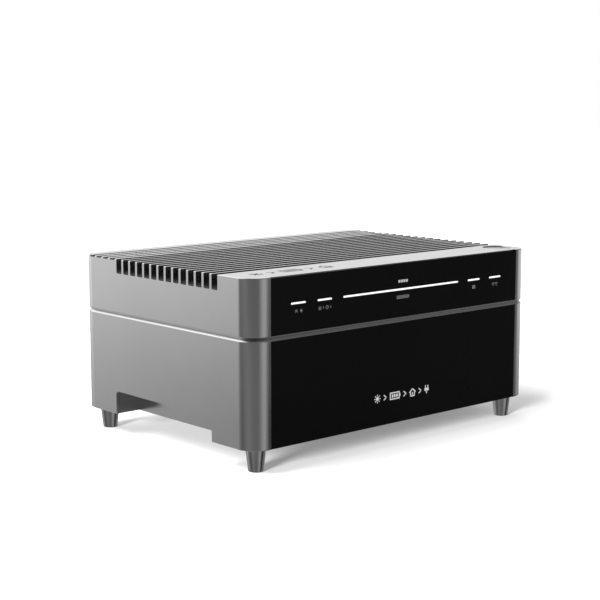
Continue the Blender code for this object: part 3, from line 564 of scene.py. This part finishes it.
def light_bars():
    for node in light_bar_nodes():
        low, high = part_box(node)
        x, z = (low.x + high.x) / 2, (low.z + high.z) / 2
        length = high.x - low.x
        dome = 0.4 * MM
        rings = []
        for step in range(4):
            angle = math.radians(30 * step)
            inset = dome * (1 - math.sin(angle))
            outline = moved(stadium(length - 2 * inset, BAR_THICK - 2 * inset), x, z)
            rings.append((outline, low.y + dome * (1 - math.cos(angle))))
        rings.append((moved(stadium(length, BAR_THICK), x, z), high.y))
        settle(swept(f"{node}_fine", rings, "light_guide", "Y"), "head_unit", "light_guide", node)


def power_button():
    low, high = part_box("power_button")
    centre = Vector(((low.x + high.x) / 2, (low.y + high.y) / 2, high.z))
    radius = (high.x - low.x) / 2
    depth = high.z - low.z
    thick, stem = 3 * MM, 4 * MM
    profile = [(stem, -depth), (stem, -thick), (radius, -thick), (radius, 0)]
    profile = softened(profile + [(stem, 0)], SOFT_EDGE)
    button = turned("power_button_fine", profile, centre, "button_metal")
    settle(button, "power_button", "silver_body", "power_button")


def feet():
    for place in ("front_left", "front_right", "rear_left", "rear_right"):
        low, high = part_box(f"foot_{place}")
        pad_low, pad_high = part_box(f"foot_pad_{place}")
        centre = Vector(((low.x + high.x) / 2, (low.y + high.y) / 2, 0))
        pad = (pad_high.x - pad_low.x) / 2
        shoulder = BOTTOM + 0.2 * MM
        tip, wide, stud = 8.7 * MM, 11.8 * MM, 4 * MM
        profile = [
            (pad + FIT, pad_high.z + FIT), (pad + FIT, low.z), (tip, low.z), (wide, shoulder),
            (stud, shoulder), (stud, high.z),
        ]
        foot = turned(f"foot_{place}_fine", profile, centre, "dark_steel", soft=0.5 * MM)
        settle(foot, "battery_module", "dark_steel", f"foot_{place}")
        tread = [(pad, pad_high.z), (pad, 0.2 * MM), (pad - 0.4 * MM, 0)]
        tread = turned(f"foot_pad_{place}_fine", tread[::-1], centre, "rubber")
        settle(tread, "battery_module", "rubber", f"foot_pad_{place}")


# Printed and engraved marks: generic pictograms only


PRINT = 0.04 * MM  # thickness of a printed layer


def bar_shape(x, z, width, height, radius=0.0):
    radius = max(radius, min(width, height) * 0.08)
    return [rounded_rectangle(around(x, width / 2), around(z, height / 2), radius, 3)]


def disc(x, z, radius, steps=20):
    return [[(x + a, z + b) for a, b in circle(radius, steps)]]


def band(x, z, radius, thick, start, end, steps=14):
    """A curved band from start to end degrees."""
    angles = [math.radians(start + (end - start) * step / steps) for step in range(steps + 1)]
    hollow = radius - thick
    outer = [(x + radius * math.cos(a), z + radius * math.sin(a)) for a in angles]
    inner = [(x + hollow * math.cos(a), z + hollow * math.sin(a)) for a in reversed(angles)]
    return [outer + inner]


def line(x1, z1, x2, z2, thick):
    along = Vector((x2 - x1, z2 - z1)).normalized() * (thick / 2)
    side = Vector((-along.y, along.x))
    a, b = Vector((x1, z1)) - along, Vector((x2, z2)) + along
    return [[tuple(a + side), tuple(a - side), tuple(b - side), tuple(b + side)]]


# Each sign is drawn around (x, z) in a box as high as height. SIGNS gives the width of those that stand in
# rows, as a share of that.


def battery_sign(x, z, height, cells=3, aspect=1.7):
    """A battery lying on its side: a frame of four bars, a nub and charge bars."""
    width, thick = height * (aspect - 0.12), height * 0.14
    x -= height * 0.06
    half_x, half_z = width / 2 - thick / 2, height * 0.43 - thick / 2
    shapes = bar_shape(x, z + half_z, width, thick) + bar_shape(x, z - half_z, width, thick)
    for side in (-1, 1):
        shapes += bar_shape(x + side * half_x, z, thick, 2 * half_z - 1.05 * thick)
    shapes += bar_shape(x + width / 2 + height * 0.07, z, height * 0.1, height * 0.34)
    room = (width - 3.6 * thick) / cells
    for cell in range(cells):
        place = x - width / 2 + 1.8 * thick + room * (cell + 0.5)
        shapes += bar_shape(place, z, room * 0.66, 2 * half_z - 2.6 * thick)
    return shapes


def long_battery_sign(x, z, height):
    return battery_sign(x, z, height, cells=8, aspect=4.8)


def sun_sign(x, z, height):
    size = height / 2
    shapes = disc(x, z, size * 0.45)
    for ray in range(8):
        angle = math.radians(45 * ray)
        a, b = size * math.cos(angle), size * math.sin(angle)
        shapes += line(x + 0.68 * a, z + 0.68 * b, x + 0.9 * a, z + 0.9 * b, size * 0.2)
    return shapes


def house_sign(x, z, height):
    half, thick = height / 2, height * 0.15
    shapes = line(x - half * 0.9, z + 0.02 * height, x - 0.06 * height, z + half - thick, thick)
    shapes += line(x + half * 0.9, z + 0.02 * height, x + 0.06 * height, z + half - thick, thick)
    for side in (-1, 1):
        shapes += bar_shape(x + side * half * 0.62, z - half * 0.42, thick, height * 0.38)
    shapes += bar_shape(x, z - half + thick / 2, half * 1.5, thick)
    shapes += bar_shape(x, z - half * 0.3, thick, height * 0.26)
    return shapes


def pylon_sign(x, z, height):
    half, thick = height / 2, height * 0.12
    shapes = line(x - 0.38 * height, z - half + thick, x - 0.09 * height, z + half - thick, thick)
    shapes += line(x + 0.38 * height, z - half + thick, x + 0.09 * height, z + half - thick, thick)
    for share, width in ((0.26, 0.95), (0.0, 0.8)):
        shapes += bar_shape(x, z + share * height, width * height, thick)
    return shapes


def outlet_sign(x, z, height):
    shapes = band(x, z, height / 2, height * 0.14, 0, 175) + band(x, z, height / 2, height * 0.14, 180, 355)
    for side in (-1, 1):
        shapes += disc(x + side * height * 0.17, z, height * 0.08, 12)
    return shapes


def panel_sign(x, z, height):
    shapes = []
    for row in (-1, 1):
        for column in (-1, 0, 1):
            place = (x + column * height * 0.45, z + row * height * 0.27)
            shapes += bar_shape(*place, height * 0.36, height * 0.44)
    return shapes


def network_sign(x, z, height):
    foot = z - height / 2 + height * 0.14
    shapes = disc(x, foot, height * 0.14, 14)
    for share in (0.5, 0.86):
        shapes += band(x, foot, height * share, height * 0.15, 42, 138)
    return shapes


def plug_sign(x, z, height):
    shapes = bar_shape(x, z, height * 0.72, height * 0.34, height * 0.06)
    shapes += bar_shape(x, z - height * 0.34, height * 0.14, height * 0.3)
    for side in (-1, 1):
        shapes += bar_shape(x + side * height * 0.2, z + height * 0.34, height * 0.13, height * 0.3)
    return shapes


def chevron_sign(x, z, height):
    reach, thick = height * 0.17, height * 0.13
    upper = line(x - reach, z + reach * 1.5, x + reach, z, thick)
    return upper + line(x - reach, z - reach * 1.5, x + reach, z, thick)


def level_sign(x, z, height):
    shapes = []
    for cell in range(4):
        shapes += bar_shape(x + (cell - 1.5) * height * 1.3, z, height * 1.08, height)
    return shapes


SIGNS = {
    battery_sign: 1.7, long_battery_sign: 4.8, sun_sign: 1.0, house_sign: 1.0, pylon_sign: 0.95,
    outlet_sign: 1.0, panel_sign: 1.26, network_sign: 1.0, plug_sign: 0.72, chevron_sign: 0.47,
}


def row_of(signs, x, z, height):
    """Signs side by side between the two ends of x."""
    widths = [SIGNS[sign] * height for sign in signs]
    gap = (x[1] - x[0] - sum(widths)) / max(1, len(signs) - 1)
    place = x[0] if len(signs) > 1 else sum(x) / 2 - widths[0] / 2
    shapes = []
    for sign, width in zip(signs, widths):
        shapes += sign(place + width / 2, z, height)
        place += width + gap
    return shapes


def thin_prisms(name, shapes, place, levels, finish):
    """Flat shapes as one thin piece. place makes x, y and z of a shape's point and one of the two levels."""
    mesh = bmesh.new()
    for shape in shapes:
        near, far = ([mesh.verts.new(place(*point, level)) for point in shape] for level in levels)
        mesh.faces.new(near)
        mesh.faces.new(far)
        for i in range(len(shape)):
            j = (i + 1) % len(shape)
            mesh.faces.new((near[i], near[j], far[j], far[i]))
    return add_piece(name, mesh, finish)


def print_on_front(name, shapes, finish, body):
    """Shapes in X and Z as a thin layer on the front glass."""
    layer = thin_prisms(name, shapes, lambda x, z, y: (x, y, z), (FRONT, FRONT - PRINT), finish)
    return settle(layer, body, "light_guide")


def print_on_top(name, shapes, finish):
    """Shapes in X and Y as a thin inlay in the top strip."""
    layer = thin_prisms(name, shapes, lambda x, y, z: (x, y, z), (TOP - PRINT, TOP + PRINT), finish)
    return settle(layer, "head_unit", "silver_body")


def marks():
    height = 4.3 * MM
    below = 9 * MM  # from a light bar to the middle of the signs under it
    rows = {
        "grid": (11 * MM, [pylon_sign, plug_sign]),
        "backup": (19.5 * MM, [house_sign, chevron_sign, outlet_sign, chevron_sign]),
        "charge": (20.7 * MM, [long_battery_sign]),
        "solar": (5.4 * MM, [panel_sign]),
        "network": (10.3 * MM, [network_sign, network_sign]),
    }
    for bar, (width, signs) in rows.items():
        low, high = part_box(f"light_bar_{bar}")
        x, z = (low.x + high.x) / 2, (low.z + high.z) / 2
        shapes = row_of(signs, around(x, width / 2), z - below, height)
        print_on_front(f"sign_{bar}", shapes, "grey_print", "head_unit")
    low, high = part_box("light_bar_charge")
    above, level_height = 9.7 * MM, 3.2 * MM
    level = level_sign(0, (low.z + high.z) / 2 + above, level_height)
    print_on_front("sign_level", level, "pale_print", "head_unit")

    path = [sun_sign, chevron_sign, battery_sign, chevron_sign, house_sign, chevron_sign, plug_sign]
    row_half, row_z, row_height = 46 * MM, BOTTOM + 33 * MM, 10.3 * MM
    front = row_of(path, around(0, row_half), row_z, row_height)
    print_on_front("sign_row_front", front, "silver_print", "battery_module")
    strip_x, strip_y, strip_height = (-206 * MM, -86 * MM), FRONT + 32.3 * MM, 17.6 * MM
    top = row_of(path[:5], strip_x, strip_y, strip_height)
    print_on_top("sign_row_top", top, "engraved")


# Rear connectors


PANEL = 2 * MM
SEAT = FIT  # from the panel's face to the connectors


def panel_face():
    """Y of the bay's back wall, which faces the rear."""
    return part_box("data_port")[0].y + 5 * MM


def centre_of(node):
    low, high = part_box(node)
    return Vector(((low.x + high.x) / 2, 0, (low.z + high.z) / 2))


def solar_inputs():
    seat = panel_face() + SEAT
    for number in range(1, 5):
        node = f"solar_input_{number}"
        low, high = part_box(node)
        flange, body, end = (high.x - low.x) / 2, 7 * MM, high.y
        flange_top, groove = seat + 2.5 * MM, body - 0.5 * MM
        floor, pin_end = end - 1.3 * MM, end - 0.2 * MM
        profile = softened([
            (body, low.y), (body, seat), (flange, seat), (flange, flange_top), (body, flange_top),
            (body, end - 5 * MM), (groove, end - 4.5 * MM), (groove, end - 3.5 * MM), (body, end - 3 * MM),
            (body, end), (body - 1.5 * MM, end), (body - 1.7 * MM, floor), (2 * MM, floor),
            (1.8 * MM, pin_end), (1.2 * MM, pin_end),
        ], 0.3 * MM)
        settle(turned(f"{node}_fine", profile, centre_of(node), "black_plastic", axis="Y"),
               "head_unit", "black_plastic", node)
        colour = "red_band" if number % 2 else "white_band"
        outer, inner = body + 0.15 * MM, body - 0.2 * MM
        start, stop = end - 8 * MM, end - 6.4 * MM
        section = [(outer, start), (outer, stop), (inner, stop), (inner, start)]
        ring = turned(f"{node}_ring", section, centre_of(node), colour, axis="Y", closed=True)
        settle(ring, "head_unit", "black_plastic")


def grid_inlet():
    low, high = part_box("grid_inlet")
    seat, end, radius = panel_face() + SEAT, high.y, (high.x - low.x) / 2
    neck, cavity = radius - 3 * MM, radius - PANEL
    profile = softened([
        (neck, low.y), (neck, seat), (radius, seat), (radius, end), (cavity, end), (cavity, seat + PANEL),
    ], 0.4 * MM)
    settle(turned("grid_inlet_fine", profile, centre_of("grid_inlet"), "black_plastic", axis="Y"),
           "head_unit", "black_plastic", "grid_inlet")
    floor = seat + PANEL
    pin_circle, pin_radius = 7.5 * MM, 1.3 * MM
    for number in range(5):
        angle = math.radians(90 + 72 * number)
        place = centre_of("grid_inlet") + Vector((math.cos(angle), 0, math.sin(angle))) * pin_circle
        profile = softened([
            (pin_radius, floor - 0.5 * MM), (pin_radius, floor + 4 * MM), (0.5 * MM, floor + 4.6 * MM),
        ], 0.3 * MM)
        pin = turned(f"grid_pin_{number + 1}", profile, place, "copper", steps=24, axis="Y")
        settle(pin, "head_unit", "black_plastic")


def backup_outlet():
    low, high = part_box("backup_outlet")
    cover_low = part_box("backup_cover")[0]
    seat, face = panel_face() + SEAT, panel_face() + SEAT + 11 * MM
    x, z = (low.x, high.x), (low.z, high.z)
    half = (x[1] - x[0]) / 2
    mouth_radius, contact_radius, contact_place = 17 * MM, 2.4 * MM, 9.5 * MM
    barrel_half, barrel_radius, pin_radius = 18.7 * MM, 1.6 * MM, 0.9 * MM
    hole_radius = pin_radius + FIT
    centre = Vector((sum(x) / 2, 0, sum(z) / 2))
    hinge = Vector((centre.x, face + SEAT + barrel_radius, high.z - 2.2 * MM))
    outlet = block("backup_outlet_fine", x, (seat, face), z, "black_plastic", edge=0.8 * MM)
    back = [(mouth_radius, low.y), (mouth_radius, seat + PANEL)]
    combine(outlet, turned("tool", back, centre, "black_plastic", axis="Y"), "UNION")
    for side in (-1, 1):
        ear_x = sorted((centre.x + side * (barrel_half + FIT), centre.x + side * half))
        ear_y, ear_z = (face - PANEL, high.y), (hinge.z - PANEL, z[1])
        combine(outlet, block("tool", ear_x, ear_y, ear_z, "black_plastic", edge=0.4 * MM), "UNION")
    mouth = softened([
        (mouth_radius, seat + PANEL), (mouth_radius, face - EDGE), (mouth_radius + MM, face + 0.4 * MM),
    ], 0.2 * MM)
    combine(outlet, turned("tool", mouth, centre, "black_plastic", axis="Y"))
    contact = [(contact_radius, low.y - PANEL), (contact_radius, face)]
    for side in (-1, 1):
        place = centre + Vector((side * contact_place, 0, 0))
        combine(outlet, turned("tool", contact, place, "black_plastic", steps=32, axis="Y"))
    hole = [(hole_radius, -half - PANEL), (hole_radius, half + PANEL)]
    combine(outlet, turned("tool", hole, hinge, "black_plastic", steps=32, axis="X"))
    settle(outlet, "head_unit", "black_plastic", "backup_outlet")

    pin_end = half - FIT
    barrel = softened([
        (pin_radius, -pin_end), (pin_radius, -barrel_half), (barrel_radius, -barrel_half),
        (barrel_radius, barrel_half), (pin_radius, barrel_half), (pin_radius, pin_end),
    ], 0.2 * MM)
    cover = turned("backup_cover_fine", barrel, hinge, "black_plastic", steps=40, axis="X")
    leaf_x, leaf_y = around(centre.x, barrel_half - EDGE), (face + FIT, face + FIT + 2.2 * MM)
    leaf = block("tool", leaf_x, leaf_y, (cover_low.z, hinge.z), "black_plastic", edge=0.6 * MM)
    combine(cover, leaf, "UNION")
    settle(cover, "backup_cover", "black_plastic", "backup_cover")


def data_port():
    low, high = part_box("data_port")
    seat = panel_face() + SEAT
    x, z = (low.x, high.x), (low.z, high.z)
    port = block("data_port_fine", x, (seat, high.y), z, "black_plastic", edge=0.5 * MM)
    middle = centre_of("data_port")
    neck = 5.5 * MM
    back = [(neck, low.y), (neck, seat + PANEL / 2)]
    combine(port, turned("tool", back, middle, "black_plastic", axis="Y"), "UNION")
    cavity_x, cavity_z = grown(x, -PANEL), grown(z, -PANEL)
    combine(port, block("tool", cavity_x, (seat + PANEL, high.y + CUT_OVER), cavity_z, "black_plastic"))
    settle(port, "head_unit", "black_plastic", "data_port")
    pitch, contact_half = 1.25 * MM, 0.25 * MM
    contact_y = (seat + PANEL, high.y - 1.5 * MM)
    contact_z = (cavity_z[1] - 1.2 * MM, cavity_z[1] - 0.6 * MM)
    for number in range(8):
        x = around(middle.x + (number - 3.5) * pitch, contact_half)
        name = f"data_contact_{number + 1}"
        contact = block(name, x, contact_y, contact_z, "copper", edge=0.1 * MM, segments=2)
        settle(contact, "head_unit", "black_plastic")


def ground_terminal():
    low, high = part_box("ground_terminal")
    seat, end, radius = panel_face() + SEAT, high.y, (high.x - low.x) / 2
    middle = centre_of("ground_terminal")
    washer = softened([
        (radius / 2, low.y), (radius / 2, seat), (radius, seat), (radius, seat + MM), (radius / 2, seat + MM),
        (radius / 2, end), (radius / 2 - 0.4 * MM, end),
    ], 0.2 * MM)
    settle(turned("ground_terminal_fine", washer, middle, "copper", axis="Y"), "head_unit", "copper",
           "ground_terminal")
    nut = [(radius * 0.86, seat + MM), (radius * 0.9, seat + 1.2 * MM), (radius * 0.9, end - 1.2 * MM),
           (radius * 0.8, end - 0.9 * MM)]
    settle(turned("ground_nut", nut, middle, "plain_metal", steps=6, axis="Y"), "head_unit", "copper")


# What shows when the head is lifted, and the inner pieces


def repaint_inner_nodes():
    slots = {entry["node"]: entry["material_slot"] for entry in frame["record"]["subparts"]}
    for name, node in frame["nodes"].items():
        node.data.materials.clear()
        node.data.materials.append(materials[slots[name]])


# Stage


CAMERA_PLACE = Vector((-1.18916, -1.31671, 0.4183))
CAMERA_PITCH = 8.449  # degrees below level
CAMERA_YAW = 41.72  # degrees to the right of straight at the front
CAMERA_LENS = 85.62

# The studio around the object: brightness by azimuth, from the front (0) over the left (90) to the rear
# (180), in four belts of elevation. A bright wall stands behind and at the right, and a large soft lamp
# behind the left side. There is a dark flag at the front right, a small soft lamp in front and a dim room at
# the left.
FLOOR_BELT = ((-180, 0.45), (-70, 0.3), (-40, 0), (-10, 0.6), (20, 0.25), (45, 0.25), (75, 0.35), (110, 0.15),
              (140, 0.4), (155, 0.7))
LOW_BELT = ((-180, 1.1), (-70, 1.1), (-50, 0.05), (-35, 0.35), (-20, 0.8), (-5, 0.75), (20, 0.2), (75, 0.2),
            (90, 0.35), (110, 0.3), (125, 0.15), (135, 0.95), (145, 1.15), (160, 1.6))
MIDDLE_BELT = ((-180, 1.3), (-150, 1.1), (-130, 1.05), (-105, 0.55), (-60, 0.5), (-10, 0.2), (40, 0.1),
               (90, 0.25), (130, 1.15), (155, 1.75))
HIGH_BELT = ((-180, 2.2), (-120, 0.3), (-70, 0.15), (-10, 0.5), (50, 0.35), (110, 0.25), (150, 2.2))
OVERHEAD = 0.12

# Elevations in degrees over which a belt gives way to the one above it
TO_LOW, TO_MIDDLE, TO_HIGH, TO_OVERHEAD = (-13.5, -6), (-4, 3), (16, 32), (62, 80)

# Suns that only shape the shadow on the floor, unseen in the metal: azimuth, elevation and width in degrees,
# and strength
SUNS = (
    ("main_lamp", 105, 54, 28, 2.5),
    ("low_lamp", 72, 14, 15, 5.7),
)

FLOOR_GLOW = 0.15  # keeps the floor white where the suns leave it in shade
FLOOR_RADIUS = 14
DOME_RADIUS = 13


def add_camera():
    data = bpy.data.cameras.new("camera")
    data.lens = CAMERA_LENS
    data.sensor_width = 36
    data.clip_end = 60
    camera = bpy.data.objects.new("camera", data)
    camera.location = CAMERA_PLACE
    camera.rotation_euler = (math.radians(90 - CAMERA_PITCH), 0, -math.radians(CAMERA_YAW))
    bpy.context.scene.collection.objects.link(camera)
    bpy.context.scene.camera = camera


def belt_of_light(tree, azimuth, stops):
    """Brightness around the horizon, from stops of (azimuth in degrees, brightness)."""
    ramp_node = tree.nodes.new("ShaderNodeValToRGB")
    ramp = ramp_node.color_ramp
    tops = list(stops) + [(180, stops[0][1])]
    while len(ramp.elements) < len(tops):
        ramp.elements.new(0.5)
    for element, (place, value) in zip(ramp.elements, tops):
        element.position = (place + 180) / 360
        element.color = (value, value, value, 1)
    tree.links.new(azimuth, ramp_node.inputs["Fac"])
    return ramp_node.outputs["Color"]


def calculate(tree, operation, *values):
    """A Math node. Each value is a number or another node's output."""
    made = tree.nodes.new("ShaderNodeMath")
    made.operation = operation
    for socket, value in zip(made.inputs, values):
        if isinstance(value, (int, float)):
            socket.default_value = value
        else:
            tree.links.new(value, socket)
    return made.outputs["Value"]


def risen(tree, height, start, end):
    """0 below start and 1 above end, both elevations in degrees."""
    made = tree.nodes.new("ShaderNodeMapRange")
    made.interpolation_type = "SMOOTHSTEP"
    made.inputs["From Min"].default_value = math.sin(math.radians(start))
    made.inputs["From Max"].default_value = math.sin(math.radians(end))
    tree.links.new(height, made.inputs["Value"])
    return made.outputs["Result"]


def add_studio():
    world = bpy.data.worlds.new("studio")
    world.use_nodes = True
    tree = world.node_tree
    direction = tree.nodes.new("ShaderNodeSeparateXYZ")
    tree.links.new(tree.nodes.new("ShaderNodeTexCoord").outputs["Generated"], direction.inputs[0])
    x, y, z = direction.outputs
    turn = calculate(tree, "ARCTAN2", calculate(tree, "MULTIPLY", x, -1), calculate(tree, "MULTIPLY", y, -1))
    azimuth = calculate(tree, "MULTIPLY_ADD", turn, 1 / (2 * math.pi), 0.5)
    brightness = belt_of_light(tree, azimuth, FLOOR_BELT)
    low = belt_of_light(tree, azimuth, LOW_BELT)
    middle = belt_of_light(tree, azimuth, MIDDLE_BELT)
    high = belt_of_light(tree, azimuth, HIGH_BELT)
    for rise, belt in ((TO_LOW, low), (TO_MIDDLE, middle), (TO_HIGH, high), (TO_OVERHEAD, OVERHEAD)):
        share = risen(tree, z, *rise)
        step = calculate(tree, "SUBTRACT", belt, brightness)
        brightness = calculate(tree, "MULTIPLY_ADD", step, share, brightness)
    tree.links.new(brightness, tree.nodes["Background"].inputs["Strength"])
    tree.nodes["Background"].inputs["Color"].default_value = (1, 1, 1, 1)
    bpy.context.scene.world = world
    for name, bearing, elevation, width, strength in SUNS:
        data = bpy.data.lights.new(name, "SUN")
        data.energy = strength
        data.angle = math.radians(width)
        light = bpy.data.objects.new(name, data)
        light.rotation_euler = (math.radians(90 - elevation), 0, -math.radians(bearing))
        light.visible_glossy = False
        bpy.context.scene.collection.objects.link(light)


def add_floor():
    """A plain white floor that glows a little, and a white dome that only the camera sees."""
    floor_paint = mottled("studio_floor", (0.9, 0.9, 0.9), 0.9, cloud=1, grain=300, depth=0.01, spread=0.01)
    surface = floor_paint.node_tree.nodes["Principled BSDF"]
    surface.inputs["Specular IOR Level"].default_value = 0
    surface.inputs["Emission Color"].default_value = (1, 1, 1, 1)
    surface.inputs["Emission Strength"].default_value = FLOOR_GLOW
    mesh = bmesh.new()
    bmesh.ops.create_circle(mesh, cap_ends=True, segments=96, radius=FLOOR_RADIUS)
    materials["studio_floor"] = floor_paint
    floor = add_piece("studio_floor", mesh, "studio_floor")
    floor.visible_glossy = False

    backdrop = bpy.data.materials.new("studio_backdrop")
    backdrop.use_nodes = True
    tree = backdrop.node_tree
    glow = tree.nodes.new("ShaderNodeEmission")
    glow.inputs["Strength"].default_value = 1.0
    tree.links.new(glow.outputs["Emission"], tree.nodes["Material Output"].inputs["Surface"])
    materials["studio_backdrop"] = backdrop
    mesh = bmesh.new()
    bmesh.ops.create_uvsphere(mesh, u_segments=48, v_segments=24, radius=DOME_RADIUS)
    dome = add_piece("studio_backdrop", mesh, "studio_backdrop")
    for ray in ("diffuse", "glossy", "transmission", "volume_scatter", "shadow"):
        setattr(dome, f"visible_{ray}", False)


repaint_inner_nodes()
battery_shell()
recess_liners()
head_housing()
front_glasses()
light_bars()
power_button()
feet()
marks()
solar_inputs()
grid_inlet()
backup_outlet()
data_port()
ground_terminal()
add_camera()
add_studio()
add_floor()
bpy.context.scene.view_settings.view_transform = "Standard"
